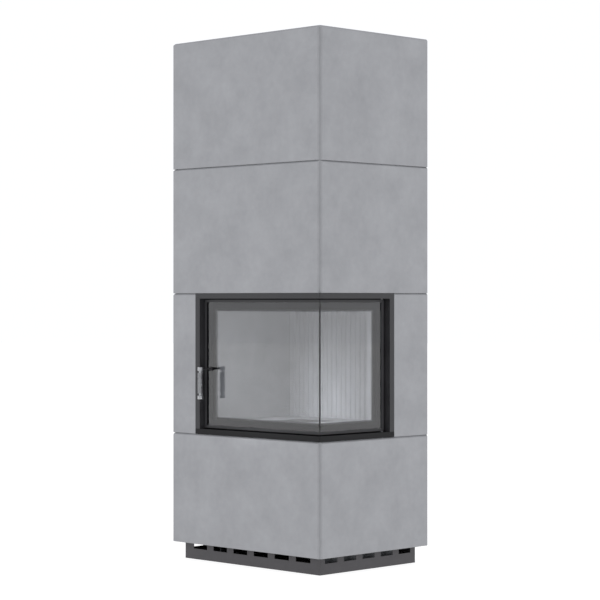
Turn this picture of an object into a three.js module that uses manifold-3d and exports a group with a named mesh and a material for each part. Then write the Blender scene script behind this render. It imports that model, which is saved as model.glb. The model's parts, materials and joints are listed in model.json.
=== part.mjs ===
// Corner fireplace: a tower of concrete panels on a steel plinth, with a firebox behind a door that turns
// the corner. Millimetres, +Z up. The origin is on the floor at the centre of the surround's plan; the front
// faces -Y and the glazed side faces +X.
import * as THREE from "three";
import { mergeVertices } from "three/addons/utils/BufferGeometryUtils.js";
import Module from "manifold-3d";

const wasm = await Module();
wasm.setup();

// ---- Sizes --------------------------------------------------------------------------------------------

// Surround: outer plan, the four courses from the floor up, and the panels
const surroundWidth = 826;
const surroundDepth = 611;
const plinthHeight = 67;
const baseCourse = 439;
const openingCourse = 559;
const upperCourse = 499;
const topCourse = 506;
const panelThickness = 50;
const arris = 1.5; // bevel on the plain outer edges of the panels
const topBevel = 7; // bevel on the upper outer edges, which makes the joints between the courses
const cornerBevel = 13; // bevel down the mitred corner at the glass
const leftBevel = 1.8; // bevel down the mitred corner on the left
const squareEnd = 0; // no mitre
const mitreGap = 0.6; // between two lengths that meet at a corner
const frontPier = 134; // panel left of the opening
const rearPier = 197; // panel behind the opening, on the side
const clearance = 0.3; // between a piece and the seat it slides, turns or drops into
const boardThickness = 30; // insulating back boards
const boardInset = 4; // boards behind the rear edges of the side panels, room for the pipe flanges
const coverThickness = 25;
const coverBearing = 15; // how far the top cover rests on the panels
const coverSlotWidth = 22;
const coverSlotLength = 160;
const coverSlotPlace = [163, 100]; // slot centres each side of the middle
const lintelSheet = 4;
const lintelHeight = 40;
const lintelBearing = 60;

// Plinth
const plinthSetback = 35.5;
const plinthSheet = 2;
const plinthFlange = 20;
const basePlate = 4;
const plinthSlotBottom = 42;
const plinthSlotHeight = 20;
const frontSlotWidth = 78;
const frontSlotMargin = 50;
const frontSlotCount = 6;
const sideSlotWidth = 68;
const sideSlotMargin = 28;
const sideSlotCount = 5;

// Fixed steel frame round the opening
const frameSheet = 3;
const railFace = 21; // visible face of head and sill
const jambFace = 25; // visible face of the jambs

// Door leaf: depths are measured from its outer face, widths from its outer edge
const recess = 22; // leaf behind the outer faces of the surround
const leafThickness = 26;
const railGap = 4;
const latchGap = 4;
const hingeGap = 10.5;
const lipSheet = 2.5;
const glassThickness = 4;
const rail = { lip: 11, web: 7, box: 18 };
const latchStile = { lip: 13, web: 9, box: 20 };
const hingeStile = { lip: 14, web: 12, box: 24 };
const gasketThickness = 5.7;
const gasketWidth = 10;
const gasketInset = 3;
const hingeGasketInset = 13.5; // keeps the rope ahead of the hinge axis, so it never rubs
const sealBand = 19; // how far the firebox's sealing faces reach in behind the leaf
const latchLug = { reach: 46, height: 20 }; // carries the spindle, on the latch stile

// Hinge pins
const hingeInset = 7; // axis behind the outer face, and ahead of the rear edge
const pinRadius = 3.5;
const pinReach = 18;
const shoulderRadius = 6;
const nutRadius = 8;
const nutHeight = 6;

// Handle
const spindleInset = 37; // spindle from the latch edge of the leaf
const spindleHeight = 235; // above the bottom edge of the leaf
const spindleRadius = 4;
const spindleTip = 1; // past the latch cam
const glassHoleGap = 2; // round the spindle
const collarRadius = 9;
const collarLength = 5;
const gripStandOff = 59; // grip axis in front of the glass
const gripRadius = 11;
const gripLength = 127;
const capLength = 15;
const capEdge = 1.5;
const coreRadius = 5.5;
const wireDiameter = 3.2;
const coilPitch = 3.9;
const coilBend = 4; // radius of the bends at its ends
const camThickness = 6;
const camRun = 1.5; // behind the firebox's sealing faces
const camHub = 9;
const camNose = 5; // half width
const camGap = 0.5; // nose to the sealing strip it turns up to

// Firebox
const wallSheet = 4;
const fireboxRearGap = 99; // firebox back wall in front of the surround's rear edges
const floorDrop = 5; // floor underside below the sill's upper face
const slabThickness = 34;
const liningThickness = 27;
const liningFrontGap = 16; // left lining behind the sealing face, room for the latch cam
const ribPitch = 26;
const ribGroove = 9;
const ribDepth = 5;
const ribMargin = 34; // plain margin at each end of the ribbed lining
const baffleThickness = 22;
const smokeGap = 186; // baffle's front edge behind the sealing face
const skirtRise = 13; // hood skirt above the head's lower face
const hoodHeight = 180;
const hoodTop = 200; // square crown
const collarRise = 20;
const flueRadius = 90;
const pipeSheet = 2;
const flueRise = 80; // straight pipe above the collar
const flueBend = 150;
const flueFlange = 125;
const flangeThickness = 4;
const boardHoleGap = 5;

// Grate and ash pan
const grateLength = 200;
const grateWidth = 160;
const grateThickness = 12;
const grateSeat = 10; // ledge of the slab that carries the grate
const grateBars = 9;
const barWidth = 11;
const panHeight = 18;
const panSheet = 1.5;
const panGap = 2;

const over = 1; // cutting tools run past what they cut, and joined pieces into each other, by this

// Air supply
const portCount = 3;
const portWidth = 24;
const portDepth = 20;
const portPitch = 52;
const airTravel = portPitch / 2;
const slideThickness = 3;
const slideMargin = 3;
const knobInset = 73.5; // knob axis from the firebox's left wall
const knobToPort = 62; // knob axis to the first port's centre
const knobLift = 2; // knob above the floor plate
const knobRadius = 8;
const knobHeight = 16;
const stemRadius = 3.5;
const slideGuide = 4;
const slideSetback = 13; // slide centre behind the firebox's front upstand
const airBoxSheet = 2;
const airBoxWidth = 300;
const airBoxDepth = 196;
const airBoxHeight = 134;
const airBoxInset = 38.5; // from the firebox's left wall
const spigotRadius = 62.5;
const spigotFlange = 85;
const standWidth = 32;
const standInset = 1.5;
const standSetback = 46;
const standRearSetback = 22;

// ---- Levels and faces ---------------------------------------------------------------------------------

const left = -surroundWidth / 2;
const right = surroundWidth / 2;
const front = -surroundDepth / 2;
const back = surroundDepth / 2;
const openingBottom = plinthHeight + baseCourse;
const openingTop = openingBottom + openingCourse;
const upperTop = openingTop + upperCourse;
const surroundTop = upperTop + topCourse;
const openingLeft = left + frontPier;
const openingRear = back - rearPier;
const boardFace = back - boardInset;
const coverBottom = surroundTop - coverThickness;

const sealDepth = recess + leafThickness + gasketThickness + clearance;
const fireboxFront = front + sealDepth;
const fireboxRight = right - sealDepth;
const fireboxLeft = openingLeft + jambFace - wallSheet;
const fireboxRear = back - fireboxRearGap;
const floorBottom = openingBottom + railFace - floorDrop;
const floorTop = floorBottom + wallSheet;
const slabTop = floorTop + slabThickness;
const airBoxLeft = fireboxLeft + airBoxInset;

const leafBottom = openingBottom + railFace + railGap;
const leafTop = openingTop - railFace - railGap;
// distances from the corner along the front and along the side
const openingAlong = { front: surroundWidth - frontPier, side: surroundDepth - rearPier };
const leafAlong = {
  front: openingAlong.front - jambFace - latchGap,
  side: openingAlong.side - jambFace - hingeGap,
};
const glassDepth = recess + lipSheet + clearance;
const boxDepth = recess + lipSheet + glassThickness + 2 * clearance;
const leafBack = recess + leafThickness;
const wallTop = leafTop - sealBand;
const hingeAxis = [right - recess - hingeInset, front + leafAlong.side - hingeInset];
const flueCentre = [(fireboxLeft + fireboxRight) / 2, (fireboxFront + fireboxRear) / 2];
const fluePipeHeight = openingTop - railFace + skirtRise + hoodHeight + collarRise;

// ---- Drawing helpers ----------------------------------------------------------------------------------

const fireplace = new THREE.Group();

function finish(color, roughness, metalness) {
  return new THREE.MeshStandardMaterial({ color, roughness, metalness, flatShading: true });
}

const concrete = finish(0x9fa1a5, 0.9, 0);
const blackSteel = finish(0x2c2c2e, 0.55, 0.5);
const darkSteel = finish(0x4a494b, 0.6, 0.5);
const bareSteel = finish(0x6d6f72, 0.45, 0.8);
const stainless = finish(0xb9bbbe, 0.3, 1);
const glass = finish(0x8a8c90, 0.05, 0);
const fireclay = finish(0xb4b2ad, 0.95, 0);
const ironCast = finish(0x333335, 0.7, 0.6);
const rope = finish(0x3a3a3a, 1, 0);
const sealant = finish(0x1f1f20, 0.7, 0);
const board = finish(0xc9c6bf, 0.95, 0);

function add(name, geometry, material) {
  const mesh = new THREE.Mesh(geometry, material);
  mesh.name = name;
  fireplace.add(mesh);
}

// An outline drawn in the plane across an axis, in the axes' cyclic order, and drawn out along that axis.
const cyclic = { x: [2, 0, 1], y: [1, 2, 0], z: [0, 1, 2] };

function extrude(axis, outline, [from, to]) {
  const shape = new THREE.Shape(outline.map(([p, q]) => new THREE.Vector2(p, q)));
  const geometry = new THREE.ExtrudeGeometry(shape, { depth: 1, bevelEnabled: false });
  const position = geometry.getAttribute("position");
  const [i, j, k] = cyclic[axis];
  for (let v = 0; v < position.count; v += 1) {
    const local = [position.getX(v), position.getY(v), position.getZ(v) < 0.5 ? from : to];
    position.setXYZ(v, local[i], local[j], local[k]);
  }
  return geometry;
}

function rectangle([p0, p1], [q0, q1]) {
  return [[p0, q0], [p1, q0], [p1, q1], [p0, q1]];
}

function circle([p, q], radius, sides = 32) {
  return Array.from({ length: sides }, (_, i) => {
    const turn = (2 * Math.PI * i) / sides;
    return [p + radius * Math.cos(turn), q + radius * Math.sin(turn)];
  });
}

function block(x, y, z) {
  return extrude("z", rectangle(x, y), z);
}

// A box whose upper face is another rectangle.
function frustum(lower, upper, [z0, z1]) {
  const geometry = block([0, 1], [0, 1], [z0, z1]);
  const position = geometry.getAttribute("position");
  for (let v = 0; v < position.count; v += 1) {
    const [x, y] = position.getZ(v) === z0 ? lower : upper;
    position.setXY(v, x[position.getX(v)], y[position.getY(v)]);
  }
  return geometry;
}

// Skin round a row of rings with equal numbers of points, closed at both ends.
function loft(rings) {
  const sides = rings[0].length;
  const index = [];
  for (let i = 0; i + 1 < rings.length; i += 1) {
    for (let side = 0; side < sides; side += 1) {
      const next = (side + 1) % sides;
      const [a, b] = [i * sides + side, i * sides + next];
      const [c, d] = [a + sides, b + sides];
      index.push(a, b, d, a, d, c);
    }
  }
  const end = (rings.length - 1) * sides;
  for (let side = 1; side + 1 < sides; side += 1) {
    index.push(0, side + 1, side, end, end + side, end + side + 1);
  }
  const geometry = new THREE.BufferGeometry().setFromPoints(rings.flat());
  geometry.setIndex(index);
  return geometry;
}

function solid(geometry) {
  const bare = geometry.clone();
  bare.deleteAttribute("normal");
  bare.deleteAttribute("uv");
  const merged = mergeVertices(bare, 1e-4);
  const vertProperties = merged.getAttribute("position").array;
  const triVerts = new Uint32Array(merged.index.array);
  return new wasm.Manifold(new wasm.Mesh({ numProp: 3, vertProperties, triVerts }));
}

function surface(body) {
  const mesh = body.getMesh();
  const geometry = new THREE.BufferGeometry();
  geometry.setAttribute("position", new THREE.BufferAttribute(mesh.vertProperties, 3));
  geometry.setIndex(new THREE.BufferAttribute(mesh.triVerts, 1));
  return geometry;
}

function join(...pieces) {
  return surface(pieces.map(solid).reduce((whole, piece) => whole.add(piece)));
}

function cut(base, ...tools) {
  return surface(tools.map(solid).reduce((whole, tool) => whole.subtract(tool), solid(base)));
}

function common(one, other) {
  return surface(solid(one).intersect(solid(other)));
}

// Frame, leaf, glass and lintels turn round the glazed corner. A straight length is drawn by its distance
// along from the corner and its depth behind the outer faces, and laid on the front or on the side.
const legs = {
  front: ([along, depth]) => [right - along, front + depth],
  side: ([along, depth]) => [right - depth, front + along],
};

function bar(leg, along, depth, z) {
  return extrude("z", rectangle(along, depth).map(legs[leg]), z);
}

function mitredBar(leg, end, [outer, inner], z) {
  const shift = mitreGap / Math.SQRT2;
  const outline = [[outer + shift, outer], [end, outer], [end, inner], [inner + shift, inner]];
  return extrude("z", outline.map(legs[leg]), z);
}

function overBothLegs(make) {
  ["front", "side"].forEach(make);
}

// ---- Surround -----------------------------------------------------------------------------------------

const walls = {
  front: { axis: "x", plan: ([u, depth]) => [u, front + depth], section: ([d, z]) => [front + d, z] },
  right: { axis: "y", plan: ([u, depth]) => [right - depth, u], section: ([d, z]) => [z, right - d] },
  left: { axis: "y", plan: ([u, depth]) => [left + depth, u], section: ([d, z]) => [z, left + d] },
};

// One end of a panel's plan outline, from the outer face inwards. The bevel down a mitred corner is shared by
// its two panels.
function panelEnd(end, outward, bevel) {
  if (bevel === squareEnd) {
    return [[end - outward * arris, 0], [end, arris], [end, panelThickness]];
  }
  const shift = mitreGap / Math.SQRT2;
  return [
    [end - outward * bevel, 0],
    [end - (outward * (bevel + shift)) / 2, (bevel - shift) / 2],
    [end - outward * (panelThickness + shift), panelThickness],
  ];
}

function panel(wall, [start, end], bevels, [z0, z1]) {
  const { axis, plan, section } = walls[wall];
  const outline = [...panelEnd(start, -1, bevels[0]), ...panelEnd(end, 1, bevels[1]).reverse()];
  const profile = [
    [0, z0 + arris], [arris, z0], [panelThickness, z0],
    [panelThickness, z1], [topBevel, z1], [0, z1 - topBevel],
  ];
  const drawn = extrude("z", outline.map(plan), [z0, z1]);
  return common(drawn, extrude(axis, profile.map(section), [start, end]));
}

const courses = [
  ["base", plinthHeight, openingBottom],
  ["upper", openingTop, upperTop],
  ["top", upperTop, surroundTop],
];

// The top course is rebated along its inner upper edge for the cover.
function coverPocket(gap) {
  const reach = panelThickness - coverBearing - gap;
  return block(
    [left + reach, right - reach],
    [front + reach, boardFace + gap],
    [coverBottom, surroundTop + gap],
  );
}

const frontBevels = [leftBevel, cornerBevel];
const rightBevels = [cornerBevel, squareEnd];
const leftBevels = [leftBevel, squareEnd];

function addCourse([course, z0, z1]) {
  const rebate = (geometry) => (course === "top" ? cut(geometry, coverPocket(clearance)) : geometry);
  add(`${course}_front`, rebate(panel("front", [left, right], frontBevels, [z0, z1])), concrete);
  add(`${course}_right`, rebate(panel("right", [front, back], rightBevels, [z0, z1])), concrete);
  add(`${course}_left`, rebate(panel("left", [front, back], leftBevels, [z0, z1])), concrete);
}

// A steel angle round the corner over the opening carries the upper course; its ends lie in notches in the
// piers.
function lintelLeg(leg) {
  const end = openingAlong[leg] + lintelBearing;
  const bottom = openingTop - lintelSheet;
  const inner = sealDepth - clearance;
  const face = topBevel + clearance;
  return [
    bar(leg, [face, end], [face, panelThickness + over], [bottom, openingTop]),
    bar(leg, [panelThickness, end], [panelThickness, inner], [bottom, bottom + lintelHeight]),
  ];
}

function lintelNotch(leg) {
  const along = [openingAlong[leg] - over, openingAlong[leg] + lintelBearing + clearance];
  const z = [openingTop - lintelSheet, openingTop + over];
  return bar(leg, along, [topBevel, panelThickness + over], z);
}

function addOpeningCourse() {
  const z = [openingBottom, openingTop];
  const pierFront = panel("front", [left, openingLeft], leftBevels, z);
  const pierRear = panel("right", [openingRear, back], [squareEnd, squareEnd], z);
  add("pier_front", cut(pierFront, lintelNotch("front")), concrete);
  add("pier_rear", cut(pierRear, lintelNotch("side")), concrete);
  add("opening_left", panel("left", [front, back], leftBevels, z), concrete);
  add("lintel", join(...lintelLeg("front"), ...lintelLeg("side")), darkSteel);
}

const boardWidth = [left + panelThickness + clearance, right - panelThickness - clearance];
const boardDepth = [boardFace - boardThickness, boardFace];
const flueLevel = fluePipeHeight + flueRise + flueBend;
const spigotCentre = [airBoxLeft + airBoxWidth / 2, floorBottom - airBoxHeight / 2];

function pipeHole([x, z], radius) {
  return extrude("y", circle([z, x], radius + boardHoleGap), [boardDepth[0] - over, boardFace + over]);
}

function addBackAndCover() {
  const lower = block(boardWidth, boardDepth, [plinthHeight, openingTop]);
  const upper = block(boardWidth, boardDepth, [openingTop, coverBottom]);
  add("back_board_lower", cut(lower, pipeHole(spigotCentre, spigotRadius)), board);
  add("back_board_upper", cut(upper, pipeHole([flueCentre[0], flueLevel], flueRadius)), board);
  const slots = [-1, 1].flatMap((side) => [-1, 1].map((row) => {
    const x = side * coverSlotPlace[0];
    const y = row * coverSlotPlace[1];
    return block(
      [x - coverSlotLength / 2, x + coverSlotLength / 2],
      [y - coverSlotWidth / 2, y + coverSlotWidth / 2],
      [coverBottom - over, surroundTop + over],
    );
  }));
  add("top_cover", cut(coverPocket(0), ...slots), board);
}

// ---- Plinth -------------------------------------------------------------------------------------------

const plinthX = [left + plinthSetback, right - plinthSetback];
const plinthY = [front + plinthSetback, back - plinthSetback];
const slotLevel = [plinthSlotBottom, plinthSlotBottom + plinthSlotHeight];

// Equal slots between the end margins of a strip.
function slotRow([start, end], count, width, margin) {
  const pitch = (end - start - 2 * margin - width) / (count - 1);
  return Array.from({ length: count }, (_, i) => {
    const from = start + margin + i * pitch;
    return [from, from + width];
  });
}

const flangeLevel = [plinthHeight - plinthSheet, plinthHeight];

function plinthStrip(web, flange, slots) {
  return cut(join(block(...web, [0, flangeLevel[0]]), block(...flange, flangeLevel)), ...slots);
}

function addPlinth() {
  const [x0, x1] = plinthX;
  const [y0, y1] = plinthY;
  const sideRun = [y0 + plinthSheet, y1 - plinthSheet];
  const flangeRun = [y0 + plinthFlange, y1 - plinthFlange];
  const frontSlots = slotRow(plinthX, frontSlotCount, frontSlotWidth, frontSlotMargin)
    .map((x) => block(x, [y0 - over, y0 + plinthSheet + over], slotLevel));
  const sideSlots = (face) => slotRow(plinthY, sideSlotCount, sideSlotWidth, sideSlotMargin)
    .map((y) => block([face - plinthSheet - over, face + plinthSheet + over], y, slotLevel));
  const frontFlange = [plinthX, [y0, y0 + plinthFlange]];
  add("plinth_front", plinthStrip([plinthX, [y0, y0 + plinthSheet]], frontFlange, frontSlots), darkSteel);
  const rightFlange = [[x1 - plinthFlange, x1], flangeRun];
  add("plinth_right", plinthStrip([[x1 - plinthSheet, x1], sideRun], rightFlange, sideSlots(x1)), darkSteel);
  const leftFlange = [[x0, x0 + plinthFlange], flangeRun];
  add("plinth_left", plinthStrip([[x0, x0 + plinthSheet], sideRun], leftFlange, sideSlots(x0)), darkSteel);
  // the rear flange also reaches out under the back boards
  const rearFlange = [plinthX, [y1 - plinthFlange, boardFace]];
  add("plinth_rear", plinthStrip([plinthX, [y1 - plinthSheet, y1]], rearFlange, []), darkSteel);
  const inside = [x0 + plinthSheet, x1 - plinthSheet];
  add("base_plate", block(inside, sideRun, [0, basePlate]), darkSteel);
}

// ---- Fixed frame --------------------------------------------------------------------------------------

const headFace = openingTop - railFace;
const sillFace = openingBottom + railFace;

// Head and sill: an angle with a face flush with the panels and a reveal that runs in to the firebox.
function frameRail(leg, face, reveal) {
  const end = openingAlong[leg];
  return join(mitredBar(leg, end, [0, frameSheet], face), mitredBar(leg, end, [0, sealDepth], reveal));
}

function pinHole(z) {
  return extrude("z", circle(hingeAxis, pinRadius + clearance, 16), z);
}

function jamb(leg) {
  const edge = openingAlong[leg];
  const z = [sillFace, headFace];
  const face = bar(leg, [edge - jambFace, edge], [0, frameSheet], z);
  const reveal = bar(leg, [edge - jambFace, edge - jambFace + frameSheet], [0, sealDepth], z);
  return join(face, reveal);
}

function addFrame() {
  overBothLegs((leg) => {
    const head = frameRail(leg, [headFace, openingTop], [headFace, headFace + frameSheet]);
    const sill = frameRail(leg, [openingBottom, sillFace], [sillFace - frameSheet, sillFace]);
    const hole = pinHole([openingBottom, openingTop]);
    add(`frame_head_${leg}`, cut(head, hole), blackSteel);
    add(`frame_sill_${leg}`, cut(sill, hole), blackSteel);
  });
  add("frame_jamb_latch", jamb("front"), blackSteel);
  add("frame_jamb_hinge", jamb("side"), blackSteel);
}

// ---- Door leaf ----------------------------------------------------------------------------------------

// The three layers of a leaf profile: front lip, web beside the glass edge, box behind the glass.
const layers = [
  { part: "lip", depth: [recess, recess + lipSheet] },
  { part: "web", depth: [recess + lipSheet, boxDepth] },
  { part: "box", depth: [boxDepth, leafBack] },
];
const stiles = { front: latchStile, side: hingeStile };

function leafRail(leg, atTop) {
  const pieces = layers.map(({ part, depth }) => {
    const end = leafAlong[leg] - stiles[leg][part];
    const z = atTop ? [leafTop - rail[part], leafTop] : [leafBottom, leafBottom + rail[part]];
    return mitredBar(leg, end, depth, z);
  });
  return join(...pieces);
}

function leafStile(leg) {
  const edge = leafAlong[leg];
  const z = [leafBottom, leafTop];
  return join(...layers.map(({ part, depth }) => bar(leg, [edge - stiles[leg][part], edge], depth, z)));
}

const paneZ = [leafBottom + rail.web + clearance, leafTop - rail.web - clearance];
const paneDepth = [glassDepth, glassDepth + glassThickness];

function pane(leg) {
  const corner = glassDepth + glassThickness + clearance;
  const end = leafAlong[leg] - stiles[leg].web - clearance;
  return bar(leg, [corner, end], paneDepth, paneZ);
}

const spindleX = right - (leafAlong.front - spindleInset);
const spindleZ = leafBottom + spindleHeight;

function alongSpindle(radius, [outer, inner], sides = 20) {
  return extrude("y", circle([spindleZ, spindleX], radius, sides), [front + outer, front + inner]);
}

// Rope gasket glued to the back of the leaf, one closed loop round both legs.
function gasket() {
  const depth = [leafBack, leafBack + gasketThickness];
  const frontEnd = leafAlong.front - gasketInset;
  const sideEnd = leafAlong.side - hingeGasketInset;
  const runs = [
    [leafBottom + gasketInset, leafBottom + gasketInset + gasketWidth],
    [leafTop - gasketInset - gasketWidth, leafTop - gasketInset],
  ].flatMap((z) => [
    bar("front", [depth[0], frontEnd], depth, z),
    bar("side", [depth[0], sideEnd], depth, z),
  ]);
  const upright = [leafBottom + gasketInset, leafTop - gasketInset];
  const latchRun = bar("front", [frontEnd - gasketWidth, frontEnd], depth, upright);
  const hingeRun = bar("side", [sideEnd - gasketWidth, sideEnd], depth, upright);
  return join(...runs, latchRun, hingeRun);
}

function addLeaf() {
  overBothLegs((leg) => {
    add(`leaf_rail_top_${leg}`, leafRail(leg, true), blackSteel);
    add(`leaf_rail_bottom_${leg}`, leafRail(leg, false), blackSteel);
  });
  const bore = alongSpindle(spindleRadius + clearance, [boxDepth - over, leafBack + over]);
  const lugAlong = [leafAlong.front - latchLug.reach, leafAlong.front - latchStile.web];
  const lugZ = [spindleZ - latchLug.height / 2, spindleZ + latchLug.height / 2];
  const lug = bar("front", lugAlong, [boxDepth, leafBack], lugZ);
  add("leaf_stile_latch", cut(join(leafStile("front"), lug), bore), blackSteel);
  const lowerBore = pinHole([leafBottom - over, leafBottom + pinReach + clearance]);
  const upperBore = pinHole([leafTop - pinReach - clearance, leafTop + over]);
  add("leaf_stile_hinge", cut(leafStile("side"), lowerBore, upperBore), blackSteel);
  const holeDepth = [paneDepth[0] - over, paneDepth[1] + over];
  const glassHole = alongSpindle(spindleRadius + glassHoleGap, holeDepth);
  add("glass_front", cut(pane("front"), glassHole), glass);
  add("glass_side", pane("side"), glass);
  add("glass_seal", bar("front", paneDepth, paneDepth, paneZ), sealant);
  add("door_gasket", gasket(), rope);
}

// Shouldered pin through the reveal of head or sill, held by a nut; the leaf turns on its shank.
function hingePin(inner, reveal, outward) {
  const turned = [
    [0, inner - outward * pinReach],
    [pinRadius, inner - outward * pinReach],
    [pinRadius, inner + outward * clearance],
    [shoulderRadius, inner + outward * clearance],
    [shoulderRadius, reveal],
    [pinRadius, reveal],
    [pinRadius, reveal + outward * frameSheet],
    [nutRadius, reveal + outward * frameSheet],
    [nutRadius, reveal + outward * (frameSheet + nutHeight)],
    [0, reveal + outward * (frameSheet + nutHeight)],
  ];
  const upwards = outward > 0 ? turned : turned.reverse();
  const profile = upwards.map(([radius, z]) => new THREE.Vector2(radius, z));
  return new THREE.LatheGeometry(profile, 16).rotateX(Math.PI / 2).translate(...hingeAxis, 0);
}

function addHingePins() {
  add("hinge_pin_top", hingePin(leafTop, headFace, 1), bareSteel);
  add("hinge_pin_bottom", hingePin(leafBottom, sillFace, -1), bareSteel);
}

// ---- Handle -------------------------------------------------------------------------------------------

const gripDepth = glassDepth - gripStandOff;
const gripTop = spindleZ + capLength / 2;
const gripBottom = gripTop - gripLength;
const camFace = sealDepth + wallSheet + camRun;
const camDepth = [camFace, camFace + camThickness];

function spindle() {
  const rod = alongSpindle(spindleRadius, [gripDepth, camDepth[1] + spindleTip]);
  const collarFace = glassDepth - clearance;
  return join(rod, alongSpindle(collarRadius, [collarFace - collarLength, collarFace]));
}

function grip() {
  const half = [
    [0, gripBottom],
    [gripRadius - capEdge, gripBottom],
    [gripRadius, gripBottom + capEdge],
    [gripRadius, gripBottom + capLength - capEdge],
    [gripRadius - capEdge, gripBottom + capLength],
    [coreRadius, gripBottom + capLength],
    [coreRadius, gripTop - capLength],
    [gripRadius - capEdge, gripTop - capLength],
    [gripRadius, gripTop - capLength + capEdge],
    [gripRadius, gripTop - capEdge],
    [gripRadius - capEdge, gripTop],
    [0, gripTop],
  ];
  const profile = half.map(([radius, z]) => new THREE.Vector2(radius, z));
  const turned = new THREE.LatheGeometry(profile, 24).rotateX(Math.PI / 2);
  const socketDepth = [gripDepth - clearance, gripDepth + gripRadius + over];
  const socket = alongSpindle(spindleRadius + clearance, socketDepth);
  return cut(turned.translate(spindleX, front + gripDepth, 0), socket);
}

// Wire wound round the grip's core: straight ends square to the caps, a quarter bend, then the curls.
// The route is worked out on the unrolled cylinder, as distance round the core and height.
const curlSteps = 8;
const bendSteps = 3;
const coilSides = 5;

function coilRoute() {
  const radius = gripRadius - wireDiameter / 2;
  const round = 2 * Math.PI * radius;
  const slope = Math.atan(coilPitch / round);
  const arc = Math.PI / 2 - slope;
  const bottom = gripBottom + capLength + clearance;
  const top = gripTop - capLength - clearance;
  const bendRise = coilBend * Math.sin(arc);
  const bendRun = coilBend * (1 - Math.cos(arc));
  const curls = (top - bottom - 2 * (wireDiameter + bendRise)) / coilPitch;
  const steps = Math.round(curls * curlSteps);
  const start = [[0, bottom], [0, bottom + wireDiameter]];
  for (let i = 1; i < bendSteps; i += 1) {
    const turn = (arc * i) / bendSteps;
    start.push([coilBend * (1 - Math.cos(turn)), start[1][1] + coilBend * Math.sin(turn)]);
  }
  const helixStart = [bendRun, bottom + wireDiameter + bendRise];
  const helix = Array.from({ length: steps + 1 }, (_, i) => [
    helixStart[0] + (round * curls * i) / steps,
    helixStart[1] + (coilPitch * curls * i) / steps,
  ]);
  const length = 2 * bendRun + round * curls;
  const finishEnd = start.map(([u, z]) => [length - u, top + bottom - z]).reverse();
  return { radius, route: [...start, ...helix, ...finishEnd] };
}

function coilRings() {
  const { radius, route } = coilRoute();
  const place = ([u, z]) => {
    const turn = u / radius;
    return new THREE.Vector3(radius * Math.cos(turn), radius * Math.sin(turn), z);
  };
  const points = route.map(place);
  const last = points.length - 1;
  return points.map((point, i) => {
    const before = points[Math.max(i - 1, 0)];
    const after = points[Math.min(i + 1, last)];
    const atEnd = i <= 1 || i >= last - 1;
    const tangent = atEnd ? new THREE.Vector3(0, 0, 1) : after.clone().sub(before).normalize();
    const outward = new THREE.Vector3(point.x, point.y, 0).normalize();
    const across = new THREE.Vector3().crossVectors(tangent, outward).normalize();
    return Array.from({ length: coilSides }, (_, side) => {
      const turn = (2 * Math.PI * side) / coilSides;
      return point.clone()
        .addScaledVector(outward, (wireDiameter / 2) * Math.cos(turn))
        .addScaledVector(across, (wireDiameter / 2) * Math.sin(turn));
    });
  });
}

// Least distance between the wire's surface points that are more than half a curl apart.
function coilGap(rings) {
  let least = Infinity;
  for (let i = 0; i < rings.length; i += 1) {
    const last = Math.min(i + curlSteps * 1.5, rings.length);
    for (let j = i + curlSteps / 2 + 1; j < last; j += 1) {
      rings[i].forEach((a) => rings[j].forEach((b) => {
        least = Math.min(least, a.distanceTo(b));
      }));
    }
  }
  return least;
}

function coil() {
  const rings = coilRings();
  console.log(`grip coil: least gap between curls ${coilGap(rings).toFixed(2)} mm`);
  return loft(rings).translate(spindleX, front + gripDepth, 0);
}

// The nose points at the latch jamb at rest and turns down as the grip is lifted.
function cam() {
  const strip = leafAlong.front - sealBand;
  const reach = strip - camGap - (leafAlong.front - spindleInset);
  const from = Math.asin(camNose / camHub);
  const hubSteps = 16;
  const hub = Array.from({ length: hubSteps + 1 }, (_, i) => {
    const turn = Math.PI + from + ((2 * Math.PI - 2 * from) * i) / hubSteps;
    return [spindleZ - camHub * Math.sin(turn), spindleX + camHub * Math.cos(turn)];
  });
  const outline = [...hub, [spindleZ - camNose, spindleX - reach], [spindleZ + camNose, spindleX - reach]];
  const plate = extrude("y", outline, camDepth.map((depth) => front + depth));
  return cut(plate, alongSpindle(spindleRadius + clearance, [camDepth[0] - over, camDepth[1] + over]));
}

function addHandle() {
  add("handle_spindle", spindle(), blackSteel);
  add("handle_grip", grip(), stainless);
  add("grip_coil", coil(), stainless);
  add("latch_cam", cam(), bareSteel);
}

// ---- Firebox ------------------------------------------------------------------------------------------

const insideLeft = fireboxLeft + wallSheet;
const insideRight = fireboxRight - wallSheet;
const insideRear = fireboxRear - wallSheet;
const insideFront = fireboxFront + wallSheet;
const flangeEdge = right - (leafAlong.front - sealBand);
const stubFront = front + leafAlong.side - hingeGasketInset - sealBand;
const skirtTop = headFace + skirtRise;
const hoodCrown = skirtTop + hoodHeight;

const slideCentre = insideFront + slideSetback + slideGuide;
const knobX = fireboxLeft + knobInset;
const slideWidth = portDepth + 2 * slideMargin;
const slideY = [slideCentre - slideWidth / 2, slideCentre + slideWidth / 2];
const slideTop = floorBottom - clearance;
const slideRight = knobX + knobToPort + (portCount - 1) * portPitch + portWidth / 2 + slideMargin;
const slideX = [knobX - knobRadius, slideRight];
const pocketX = [knobX - knobRadius - slideMargin, slideRight + slideMargin];
const pocketRear = slideY[1] + slideMargin;

function airPorts(z) {
  return Array.from({ length: portCount }, (_, i) => {
    const x = knobX + knobToPort + i * portPitch;
    return block(
      [x - portWidth / 2, x + portWidth / 2],
      [slideCentre - portDepth / 2, slideCentre + portDepth / 2],
      z,
    );
  });
}

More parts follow.
